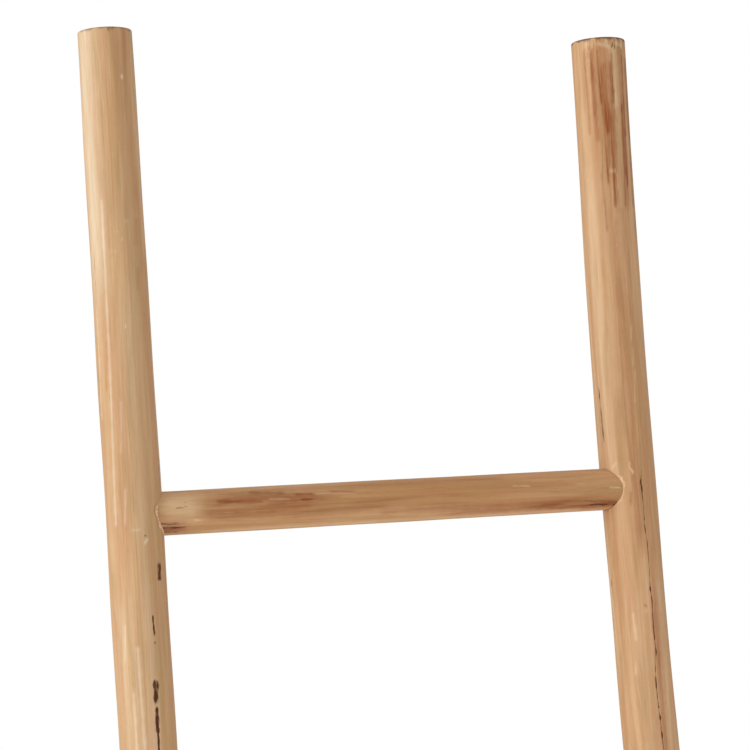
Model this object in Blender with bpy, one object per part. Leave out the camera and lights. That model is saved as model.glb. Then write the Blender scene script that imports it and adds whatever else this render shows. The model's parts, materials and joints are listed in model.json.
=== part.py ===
# Leaning pole ladder that quilts, blankets and towels hang on.
#
# Two round turned poles, the rails, stand on the floor and lean back towards a wall at +Y.
# Rungs cross between them. Each rung end is turned down to a round tenon that sits in a blind
# bore in its rail, and one countersunk screw, driven from the back, holds each joint.
#
# The ladder is modelled upright in its own frame and then leant back as a whole. In that frame
# x runs across the ladder, y runs through it towards the wall, and z runs up along the rails.
# The world origin is on the floor, at the middle of the ladder's footprint.

import math

import bmesh
import bpy
from mathutils import Matrix, Vector

# Stance
LEAN = math.radians(9.5)  # from upright

# Rails: round poles, a little thicker at the foot. The right one sways gently sideways.
RAIL_LENGTH = 1.803
RAIL_SPACING = 0.456  # between centre lines, where the rails come closest
RAILS = {
    "left": {"side": -1, "foot_radius": 0.0240, "top_radius": 0.0226, "sway": 0.0},
    "right": {"side": 1, "foot_radius": 0.0243, "top_radius": 0.0237, "sway": 0.0035},
}
SWAY_WAVE = 1.30  # length of one full wave of the sway
SWAY_DROP = 0.30  # from the top of the rails down to where they come closest
END_CHAMFER = 0.0012  # eased rim of the sawn ends

# Rungs
RUNG_COUNT = 4
RUNG_RADIUS = 0.0180
TOP_RUNG_DROP = 0.396  # from the top of the rails down to the highest rung's centre
LOW_RUNG_HEIGHT = 0.207  # from the foot of the rails up to the lowest rung's centre
RUNG_RISE = 0.0020  # the right end of each rung sits this much higher

# Joints
TENON_RADIUS = 0.0110
TENON_REACH = 0.0080  # how far the tenon runs past the rail's centre line
TENON_CHAMFER = 0.0015
SEAT_BURY = 0.0015  # least depth of the rung's shoulder under the rail's surface
FIT_GAP = 0.0003  # between pieces that touch

# Screws
SCREW_HEAD_RADIUS = 0.0041
SCREW_SHANK_RADIUS = 0.0021
SCREW_CORE_RADIUS = 0.0016
SCREW_SHANK_LENGTH = 0.0120
SCREW_POINT_LENGTH = 0.0060
SCREW_POINT_RADIUS = 0.0003
SCREW_RIM = 0.0004  # straight rim of the countersunk head
SCREW_SINK = 0.0010  # from the back of the rail down to the head
SCREW_COVER = 0.0070  # wood left between the screw's point and the front of the rail
RECESS_SPAN = 0.0046  # tip to tip of the cross recess
RECESS_SLOT = 0.0009
RECESS_DEPTH = 0.0017
RECESS_TAPER = 0.5  # the recess's size at its floor, as a share of its mouth

# Facets
RAIL_SIDES = 40
RAIL_STATIONS = 11
RUNG_SIDES = 32
SCREW_SIDES = 12
SMOOTH_ANGLE = math.radians(35)

# Colours: linear base colour, roughness, metallic
LEFT_RAIL_FINISH = ((0.578, 0.352, 0.181, 1.0), 0.55, 0.0)
RIGHT_RAIL_FINISH = ((0.527, 0.287, 0.138, 1.0), 0.55, 0.0)
RUNG_FINISH = ((0.434, 0.223, 0.102, 1.0), 0.55, 0.0)
SCREW_FINISH = ((0.560, 0.550, 0.530, 1.0), 0.35, 1.0)


def clear_scene():
    for obj in list(bpy.data.objects):
        bpy.data.objects.remove(obj, do_unlink=True)


def rail_x(rail, height):
    """The rail's centre line, across the ladder, at a height along the rail."""
    phase = 2 * math.pi * (RAIL_LENGTH - height - SWAY_DROP) / SWAY_WAVE
    return rail["side"] * (RAIL_SPACING / 2 + rail["sway"] * (1 - math.cos(phase)))


def rail_radius(rail, height):
    share = height / RAIL_LENGTH
    return rail["foot_radius"] + (rail["top_radius"] - rail["foot_radius"]) * share


def shoulder_distance(rail, height):
    """From the rail's centre line to the rung's shoulder, buried under the rail's surface."""
    seat_radius = RUNG_RADIUS + FIT_GAP
    return math.sqrt(rail_radius(rail, height) ** 2 - seat_radius**2) - SEAT_BURY


def rung_height(index, rail):
    """Height along a rail of a rung's centre. The rungs are spaced evenly, the highest first."""
    pitch = (RAIL_LENGTH - TOP_RUNG_DROP - LOW_RUNG_HEIGHT) / (RUNG_COUNT - 1)
    height = RAIL_LENGTH - TOP_RUNG_DROP - index * pitch
    return height + rail["side"] * RUNG_RISE / 2


def circle(radius, centre, sides):
    """Points of a level circle. +X and +Y each meet the middle of a side."""
    turns = [2 * math.pi * (i + 0.5) / sides for i in range(sides)]
    return [centre + radius * Vector((math.cos(t), math.sin(t), 0)) for t in turns]


def skin(name, rings):
    """A closed mesh through rings of points, from the lowest ring to the highest."""
    mesh = bpy.data.meshes.new(name)
    bm = bmesh.new()
    loops = [[bm.verts.new(point) for point in ring] for ring in rings]
    count = len(loops[0])
    for low, high in zip(loops, loops[1:]):
        for i in range(count):
            j = (i + 1) % count
            bm.faces.new((low[i], low[j], high[j], high[i]))
    bm.faces.new(list(reversed(loops[0])))
    bm.faces.new(loops[-1])
    bm.to_mesh(mesh)
    bm.free()
    mesh.shade_smooth()
    mesh.set_sharp_from_angle(angle=SMOOTH_ANGLE)
    return mesh


def turned(name, profile, sides):
    """A closed mesh turned about Z from (radius, height) pairs, lowest first."""
    return skin(name, [circle(radius, Vector((0, 0, z)), sides) for radius, z in profile])


def add_object(name, mesh, frame, matrix):
    obj = bpy.data.objects.new(name, mesh)
    bpy.context.scene.collection.objects.link(obj)
    obj.parent = frame
    obj.matrix_local = matrix
    return obj


def make_cutter(obj):
    obj.hide_render = True
    obj.display_type = "WIRE"
    return obj


def cut(obj, cutter):
    modifier = obj.modifiers.new(cutter.name, "BOOLEAN")
    modifier.operation = "DIFFERENCE"
    modifier.solver = "EXACT"
    modifier.object = cutter


def paint(obj, finish):
    colour, roughness, metallic = finish
    material = bpy.data.materials.new(obj.name)
    material.use_nodes = True
    shader = material.node_tree.nodes["Principled BSDF"]
    shader.inputs["Base Color"].default_value = colour
    shader.inputs["Roughness"].default_value = roughness
    shader.inputs["Metallic"].default_value = metallic
    obj.data.materials.append(material)


def rail_mesh(name, rail):
    """A pole through its stations. The top is sawn square, and the foot level with the floor."""
    span = RAIL_LENGTH - 2 * END_CHAMFER
    heights = [END_CHAMFER + span * i / (RAIL_STATIONS - 1) for i in range(RAIL_STATIONS)]
    stations = [(0.0, END_CHAMFER)] + [(z, 0.0) for z in heights] + [(RAIL_LENGTH, END_CHAMFER)]
    rings = []
    for z, inset in stations:
        offset = rail_x(rail, z) - rail_x(rail, 0)
        radius = rail_radius(rail, z) - inset
        rings.append(circle(radius, Vector((offset, 0, z)), RAIL_SIDES))
    for ring in rings[:2]:
        for point in ring:
            point.z += point.y * math.tan(LEAN)
    return skin(name, rings)


def add_rail(name, rail, frame):
    foot = Matrix.Translation((rail_x(rail, 0), 0, 0))
    return add_object(name, rail_mesh(name, rail), frame, foot)


def rung_profile(length, shoulders, grow):
    """(radius, distance) pairs along a rung, from the left rail's centre line."""
    start, end = -TENON_REACH - grow, length + TENON_REACH + grow
    left, right = shoulders[0] - grow, length - shoulders[1] + grow
    return [
        (TENON_RADIUS - TENON_CHAMFER + grow, start),
        (TENON_RADIUS + grow, start + TENON_CHAMFER),
        (TENON_RADIUS + grow, left),
        (RUNG_RADIUS + grow, left),
        (RUNG_RADIUS + grow, right),
        (TENON_RADIUS + grow, right),
        (TENON_RADIUS + grow, end - TENON_CHAMFER),
        (TENON_RADIUS - TENON_CHAMFER + grow, end),
    ]


def add_rung(name, index, frame):
    """One rung between the two centre lines, and the solid that bores its seats."""
    ends = []
    shoulders = []
    for rail in RAILS.values():
        height = rung_height(index, rail)
        ends.append(Vector((rail_x(rail, height), 0, height)))
        shoulders.append(shoulder_distance(rail, height))
    along = ends[1] - ends[0]
    place = Matrix.Translation(ends[0]) @ along.to_track_quat("Z", "Y").to_matrix().to_4x4()
    pair = []
    for label, grow in ((name, 0.0), (name + "_bore", FIT_GAP)):
        profile = rung_profile(along.length, shoulders, grow)
        pair.append(add_object(label, turned(label, profile, RUNG_SIDES), frame, place))
    return pair[0], make_cutter(pair[1])


def screw_profile(length, grow, rise):
    """(radius, distance) pairs from the point to the head, carried on by rise past the head."""
    neck = length - SCREW_RIM - (SCREW_HEAD_RADIUS - SCREW_SHANK_RADIUS)
    return [
        (SCREW_POINT_RADIUS + grow, -grow),
        (SCREW_CORE_RADIUS + grow, SCREW_POINT_LENGTH),
        (SCREW_CORE_RADIUS + grow, neck - SCREW_SHANK_LENGTH - grow),
        (SCREW_SHANK_RADIUS + grow, neck - SCREW_SHANK_LENGTH - grow),
        (SCREW_SHANK_RADIUS + grow, neck - grow),
        (SCREW_HEAD_RADIUS + grow, length - SCREW_RIM - grow),
        (SCREW_HEAD_RADIUS + grow, length + rise),
    ]


def recess_mesh(name):
    """A cross that narrows from its mouth, at z = 0, down to its floor."""
    arm, half = RECESS_SPAN / 2, RECESS_SLOT / 2
    corner = [(arm, -half), (arm, half), (half, half)]
    outline = []
    for quarter in range(4):
        turn = Matrix.Rotation(quarter * math.pi / 2, 4, "Z")
        outline += [turn @ Vector((x, y, 0)) for x, y in corner]
    rise = Vector((0, 0, FIT_GAP))
    floor = [RECESS_TAPER * point - Vector((0, 0, RECESS_DEPTH)) for point in outline]
    return skin(name, [floor, outline, [point + rise for point in outline]])


def add_screw(name, rail, height, frame):
    """A screw driven from the back of a rail, and the solid that clears a way for it."""
    radius = rail_radius(rail, height)
    length = 2 * radius - SCREW_SINK - SCREW_COVER
    point = Vector((rail_x(rail, height), radius - SCREW_SINK - length, height))
    place = Matrix.Translation(point) @ Matrix.Rotation(-math.pi / 2, 4, "X")
    screw = add_object(name, turned(name, screw_profile(length, 0, 0), SCREW_SIDES), frame, place)
    hole = name + "_hole"
    profile = screw_profile(length, FIT_GAP, 2 * SCREW_SINK)
    hole = add_object(hole, turned(hole, profile, SCREW_SIDES), frame, place)
    recess = name + "_recess"
    mouth = place @ Matrix.Translation((0, 0, length))
    cut(screw, make_cutter(add_object(recess, recess_mesh(recess), frame, mouth)))
    return screw, make_cutter(hole)


def centre_on_origin(frame, rails):
    """Leans the ladder back, with its footprint's middle at the origin and its feet at z = 0."""
    lean = Matrix.Rotation(-LEAN, 4, "X")
    points = [lean @ rail.matrix_local @ v.co for rail in rails for v in rail.data.vertices]
    middle = [(min(axis) + max(axis)) / 2 for axis in zip(*points)]
    frame.rotation_euler = (-LEAN, 0, 0)
    frame.location = (-middle[0], -middle[1], 0)


def build_ladder():
    clear_scene()
    frame = add_object("ladder_frame", None, None, Matrix.Identity(4))
    rails = {side: add_rail(side + "_rail", RAILS[side], frame) for side in RAILS}
    paint(rails["left"], LEFT_RAIL_FINISH)
    paint(rails["right"], RIGHT_RAIL_FINISH)
    for index in range(RUNG_COUNT):
        rung, bore = add_rung(f"rung_{index + 1}", index, frame)
        paint(rung, RUNG_FINISH)
        for side, rail in RAILS.items():
            height = rung_height(index, rail)
            screw, hole = add_screw(f"{side}_screw_{index + 1}", rail, height, frame)
            paint(screw, SCREW_FINISH)
            cut(rails[side], bore)
            cut(rails[side], hole)
            cut(rung, hole)
    centre_on_origin(frame, rails.values())


build_ladder()
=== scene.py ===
# Leaning teak pole ladder: the looks of the rails, rungs, joints and screws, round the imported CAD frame.
import json
import math

import bpy
import numpy as np
from mathutils import Matrix, Vector


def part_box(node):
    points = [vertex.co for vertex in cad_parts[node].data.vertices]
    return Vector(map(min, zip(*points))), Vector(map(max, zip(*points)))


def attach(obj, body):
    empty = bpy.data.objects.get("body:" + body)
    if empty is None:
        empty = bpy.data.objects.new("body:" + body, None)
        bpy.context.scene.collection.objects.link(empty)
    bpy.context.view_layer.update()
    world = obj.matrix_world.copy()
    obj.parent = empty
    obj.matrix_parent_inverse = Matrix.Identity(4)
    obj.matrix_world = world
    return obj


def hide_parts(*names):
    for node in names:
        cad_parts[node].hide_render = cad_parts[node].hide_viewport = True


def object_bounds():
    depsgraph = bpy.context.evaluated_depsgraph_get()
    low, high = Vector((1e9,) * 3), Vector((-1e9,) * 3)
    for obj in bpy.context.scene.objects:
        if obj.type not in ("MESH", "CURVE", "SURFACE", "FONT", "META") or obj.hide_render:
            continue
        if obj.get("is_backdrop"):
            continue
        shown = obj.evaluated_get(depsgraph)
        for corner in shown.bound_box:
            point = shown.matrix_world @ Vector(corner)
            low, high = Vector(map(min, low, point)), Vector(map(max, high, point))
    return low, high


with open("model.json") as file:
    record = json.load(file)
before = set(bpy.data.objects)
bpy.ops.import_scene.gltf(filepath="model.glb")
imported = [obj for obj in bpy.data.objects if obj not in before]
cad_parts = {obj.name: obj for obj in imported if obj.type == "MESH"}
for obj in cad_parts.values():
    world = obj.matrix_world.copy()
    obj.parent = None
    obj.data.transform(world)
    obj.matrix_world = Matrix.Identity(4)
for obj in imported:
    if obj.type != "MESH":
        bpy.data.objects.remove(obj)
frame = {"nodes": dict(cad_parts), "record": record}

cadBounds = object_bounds()
mm = 0.001


# ---- where the ladder stands, read from the frame

frameReading = {
    "ringGap": 0.05 * mm,  # points of a CAD pole that lie closer than this along it are one ring
    "ringPoints": 20,  # a ring has more; the rest are the edges of the bores
    "endBand": 0.6 * mm,  # how deep a rung's end face is taken
    "bodyShare": 0.95,  # a rung's body reaches further out than this share of its radius
    "tenonRun": 4 * mm,  # the first stretch of a rung is all tenon
}


def nodePoints(node):
    mesh = frame["nodes"][node].data
    points = np.empty(3 * len(mesh.vertices))
    mesh.vertices.foreach_get("co", points)
    return np.unique(points.reshape(-1, 3).round(7), axis=0)


def boxMiddle(node):
    low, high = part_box(node)
    return (Vector(low) + Vector(high)) / 2


rungNodes = sorted(node for node in frame["nodes"] if node.startswith("rung_"))
rungRise = boxMiddle(rungNodes[0]) - boxMiddle(rungNodes[-1])
lean = math.atan2(rungRise.y, rungRise.z)
backWay = Vector((0, math.cos(lean), -math.sin(lean)))  # square to the ladder, towards the wall
mounts = {mount["name"]: Vector(mount["pos_m"]) for mount in frame["record"]["mounts"]}


def placeAlong(start, along):
    # z runs along the piece and y points to the back, so -y is the side that faces the room
    along = along.normalized()
    side = backWay.cross(along).normalized()
    back = along.cross(side)
    return Matrix.Translation(start) @ Matrix((side, back, along)).transposed().to_4x4()


def inPlace(points, place):
    turned = np.array(place.to_3x3())
    return (points - np.array(place.translation)) @ turned


def circleThrough(ring):
    system = np.column_stack([2 * ring[:, :2], np.ones(len(ring))])
    x, y, rest = np.linalg.lstsq(system, (ring[:, :2] ** 2).sum(1), rcond=None)[0]
    return x, math.sqrt(rest + x * x + y * y)


def railShape(side):
    # the CAD pole's rings give its length, its thickness at both ends and how it sways
    place = placeAlong(mounts["foot_" + side], Vector((0, math.sin(lean), math.cos(lean))))
    points = inPlace(nodePoints(side + "_rail"), place)
    points = points[np.argsort(points[:, 2])]
    groups = np.split(points, np.flatnonzero(np.diff(points[:, 2]) > frameReading["ringGap"]) + 1)
    rings = [group for group in groups if len(group) > frameReading["ringPoints"]]
    heights = np.array([ring[:, 2].mean() for ring in rings])
    shifts, radii = np.array([circleThrough(ring) for ring in rings]).T
    taper, foot = np.polyfit(heights[:-1], radii[:-1], 1)  # the last ring is the eased rim
    heights, shifts = np.append(0, heights), np.append(0, shifts)
    slopes = np.gradient(shifts, heights)

    def shift(runs):
        i = np.clip(np.searchsorted(heights, runs) - 1, 0, len(heights) - 2)
        step = heights[i + 1] - heights[i]
        t = (np.clip(runs, 0, heights[-1]) - heights[i]) / step
        return ((1 + 2 * t) * (1 - t) ** 2 * shifts[i] + t * t * (3 - 2 * t) * shifts[i + 1]
                + step * t * (1 - t) * ((1 - t) * slopes[i] - t * slopes[i + 1]))

    return {"place": place, "length": heights[-1], "shift": shift,
            "radius": lambda runs: foot + taper * runs}


def rungShape(node):
    points = nodePoints(node)
    across, band = points[:, 0], frameReading["endBand"]
    start = Vector(points[across < across.min() + band].mean(0))
    end = Vector(points[across > across.max() - band].mean(0))
    place = placeAlong(start, end - start)
    points = inPlace(points, place)
    reach = np.hypot(points[:, 0], points[:, 1])
    body = points[reach > frameReading["bodyShare"] * reach.max(), 2]
    tenon = reach[points[:, 2] < frameReading["tenonRun"]].max()
    return {"place": place, "length": (end - start).length, "radius": reach.max(), "tenon": tenon,
            "shoulders": (body.min(), body.max())}


rails = {side: railShape(side) for side in ("left", "right")}
rungs = [rungShape(node) for node in rungNodes]
print("frame read: lean", round(math.degrees(lean), 2), "degrees, rails",
      round(rails["left"]["length"], 3), "m")


# ---- mesh making

footFade = 0.12  # metres up the pole over which the slant of its foot fades out


def newMesh(name, points, faces):
    mesh = bpy.data.meshes.new(name)
    mesh.from_pydata(points, [], faces)
    return mesh


def swell(seed, turns, runs, around, along, depth, count=14):
    # a smooth random relief over a round pole: so many waves around it and per metre along it
    draw = np.random.default_rng(seed)
    total = np.zeros(np.broadcast(turns, runs).shape)
    for _ in range(count):
        waves = draw.integers(around[0], around[1] + 1)
        speed = draw.uniform(*along) * 2 * math.pi * draw.choice((-1, 1))
        total += np.cos(waves * turns + speed * runs + draw.uniform(0, 2 * math.pi))
    return depth * total / math.sqrt(count / 2)


def roundMesh(name, rows, turns, shift=None, relief=None, shear=0.0):
    # rows are (distance along, radius, share of the relief), from one end's middle to the other's
    runs, radii, share = (np.array(column)[:, None] for column in zip(*rows))
    turns = turns[None, :]
    reach = radii + (share * relief(turns, runs) if relief else 0 * turns)
    x = reach * np.sin(turns) + (shift(runs) if shift else 0)
    y = -reach * np.cos(turns)
    z = runs + shear * y * np.clip(1 - runs / footFade, 0, 1)
    count, around = reach.shape
    points = np.stack([x, y, z + 0 * x], -1).reshape(-1, 3)
    ends = [points[:around].mean(0), points[-around:].mean(0)]
    points = np.vstack([points, ends])
    low = np.arange((count - 1) * around).reshape(count - 1, around)
    nextOne = np.roll(low, -1, axis=1)
    quads = np.stack([low, nextOne, nextOne + around, low + around], -1).reshape(-1, 4).tolist()
    first, last = len(points) - 2, len(points) - 1
    top = (count - 1) * around
    caps = [[first, (i + 1) % around, i] for i in range(around)]
    caps += [[last, top + i, top + (i + 1) % around] for i in range(around)]
    return newMesh(name, points.tolist(), quads + caps)


def addPiece(name, mesh, place):
    piece = bpy.data.objects.new(name, mesh)
    bpy.context.scene.collection.objects.link(piece)
    piece.matrix_world = place
    return piece


def toWorld(piece):
    # moves the mesh to its place and the object to the origin, as the CAD nodes are kept
    piece.data.transform(piece.matrix_world)
    piece.matrix_world = Matrix.Identity(4)


def carve(piece, cutters):
    for cutter in cutters:
        cut = piece.modifiers.new(cutter.name, "BOOLEAN")
        cut.operation = "DIFFERENCE"
        cut.solver = "MANIFOLD"
        cut.object = cutter
    bpy.context.view_layer.update()
    carved = bpy.data.meshes.new_from_object(piece.evaluated_get(bpy.context.evaluated_depsgraph_get()))
    piece.modifiers.clear()
    spent = piece.data
    piece.data = carved
    bpy.data.meshes.remove(spent)
    carved.name = piece.name


def shadeRound(piece, sharpAngle=40):
    piece.data.shade_smooth()
    piece.data.set_sharp_from_angle(angle=math.radians(sharpAngle))


def spread(low, high, step, near=(), fine=4):
    # evenly spaced values from low to high, with steps so many times finer round the places in near
    values = [np.linspace(low, high, round((high - low) / step) + 1)]
    for spot in near:
        values.append(spot + np.arange(-1.5 * step, 1.5 * step, step / fine))
    values = np.unique(np.concatenate(values).clip(low, high))
    return values[np.append(True, np.diff(values) > 0.5 * step / fine)]


def easedEnds(length, radius, ease, capShares=(0.02, 0.2, 0.4, 0.6, 0.8, 0.94)):
    # rows over a sawn end and round its eased rim, for the start of a pole
    steps = np.linspace(0, math.pi / 2, 5)
    first = [(0.0, (radius(0.0) - ease) * share, 0.0) for share in capShares]
    first += [(ease * (1 - math.cos(a)), radius(0.0) - ease * (1 - math.sin(a)), math.sin(a)) for a in steps]
    last = [(length - run, reach + radius(length) - radius(0.0), share) for run, reach, share in first]
    last = [(run, max(reach, 0.3 * mm), share) for run, reach, share in last[::-1]]
    return first, last


# ---- marks that years and the workshop left on the wood

# Each mark is (kind, width in mm, strength, depth in mm, path). A path's points are (turn, drop): degrees
# round from the side that faces the room, and mm down from the rail's top, or along a rung from its left end.

markShapes = {
    "broad": 4,  # mm; a mark wider than this, and this many times longer than wide, fades out along the grain
    "fade": 0.22,
    "ragged": 0.35,  # how much a mark's width varies along it, and less where it is wider than raggedTo
    "raggedTo": 3,  # mm
    "raggedWaves": (0.41, 0.173),  # radians per mm
    "skin": 3 * mm,  # no mark lies deeper than this, inside a bore
}


def markField(marks, turns, drops, radius, kinds=("dark", "red", "pale"), value="share"):
    total = np.zeros(np.broadcast(turns, drops).shape)
    for number, (kind, width, share, depth, path) in enumerate(marks):
        if kind not in kinds or (value == "depth" and not depth):
            continue
        nearest = np.full(total.shape, 1e9)
        path = path if len(path) > 1 else path * 2
        for (turnA, dropA), (turnB, dropB) in zip(path, path[1:]):
            across = np.radians((turns - turnA + 180) % 360 - 180) * radius / mm
            ahead, wide, long = drops - dropA, math.radians(turnB - turnA) * radius / mm, dropB - dropA
            t = np.clip((across * wide + ahead * long) / (wide ** 2 + long ** 2 + 1e-9), 0, 1)
            streak = width > markShapes["broad"] and abs(long) > markShapes["broad"] * width
            fade = markShapes["fade"] if streak else 1
            nearest = np.minimum(nearest, np.hypot(across - t * wide, fade * (ahead - t * long)))
        uneven = markShapes["ragged"] * min(1, markShapes["raggedTo"] / width)
        quick, slow = markShapes["raggedWaves"]
        ragged = 1 + uneven * np.cos(drops * quick + number) * np.cos(drops * slow + 2.3 * number)
        field = np.exp(-(2 * nearest / (width * ragged)) ** 2)
        total = total + (depth * mm * field if value == "depth" else share * field)
    return total if value == "depth" else np.clip(total, 0, 1)


def strayMarks(seed, count, drops, turns=(-180, 180), long=(25, 90), widths=(1.2, 3.0)):
    # soft streaks at random, for the stretches that hold no larger mark
    draw = np.random.default_rng(seed)
    marks = []
    for _ in range(count):
        turn, drop = draw.uniform(*turns), draw.uniform(*drops)
        end = (turn + draw.uniform(-6, 6), drop + draw.uniform(*long))
        marks.append((str(draw.choice(("dark", "red", "pale", "pale"))), draw.uniform(*widths),
                      draw.uniform(0.25, 0.6), 0.0, [(turn, drop), end]))
    return marks


def stainMesh(piece, marks, radius, dropOf, shift=None, sawn=None, creaseShade=None):
    # hands the marks to the material, and the piece's own coordinates with them
    mesh = piece.data
    points = np.empty(3 * len(mesh.vertices), dtype=np.float32)
    mesh.vertices.foreach_get("co", points)
    x, y, z = points.reshape(-1, 3).T.astype(float)
    x = x - (shift(z) if shift else 0)
    turns = np.degrees(np.arctan2(x, -y))
    reach = radius(z) if callable(radius) else radius
    skin = np.clip((np.hypot(x, y) - reach + markShapes["skin"]) / mm, 0, 1)
    fields = {kind + "Mark": markField(marks, turns, dropOf(z), reach, (kind,)) * skin
              for kind in ("dark", "red", "pale")}
    if sawn:
        fields["sawn"] = sawn(x, y, z, reach)
    # painted shade beside the joints is laid into the dark marks
    if creaseShade:
        fields["darkMark"] = np.maximum(fields["darkMark"], creaseShade(turns, y, z))
    for name, field in fields.items():
        mesh.attributes.new(name, "FLOAT", "POINT").data.foreach_set("value", field.astype(np.float32))
    mesh.attributes.new("grain", "FLOAT_VECTOR", "POINT").data.foreach_set("vector", points)
    toWorld(piece)


# ---- rails

railLooks = {
    "columnStep": 0.62 * mm,  # over the turns that hold fine marks
    "fineTurns": (-105, 70),  # those turns, in degrees
    "coarse": 4,  # the columns on the rest are so many times wider
    "rowStep": (3.2 * mm, 7.0 * mm),  # over the top stretch, and below it
    "topStretch": 0.66,
    "shortMark": 5,  # mm; rows lie closer together round the marks that are shorter
    "rowsAtRim": (2.9, 2.3, 1.7),  # mm below the top
    "rimEase": 1.2 * mm,
    "outOfRound": 0.20 * mm,
    "lumps": 0.16 * mm,
    "fibres": 0.035 * mm,
    "rimDarkening": {"left": 0.60, "right": 0.90},
    "rimDepth": {"left": 2.8 * mm, "right": 3.4 * mm},
    "faceDarkening": 0.5,
}

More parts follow.
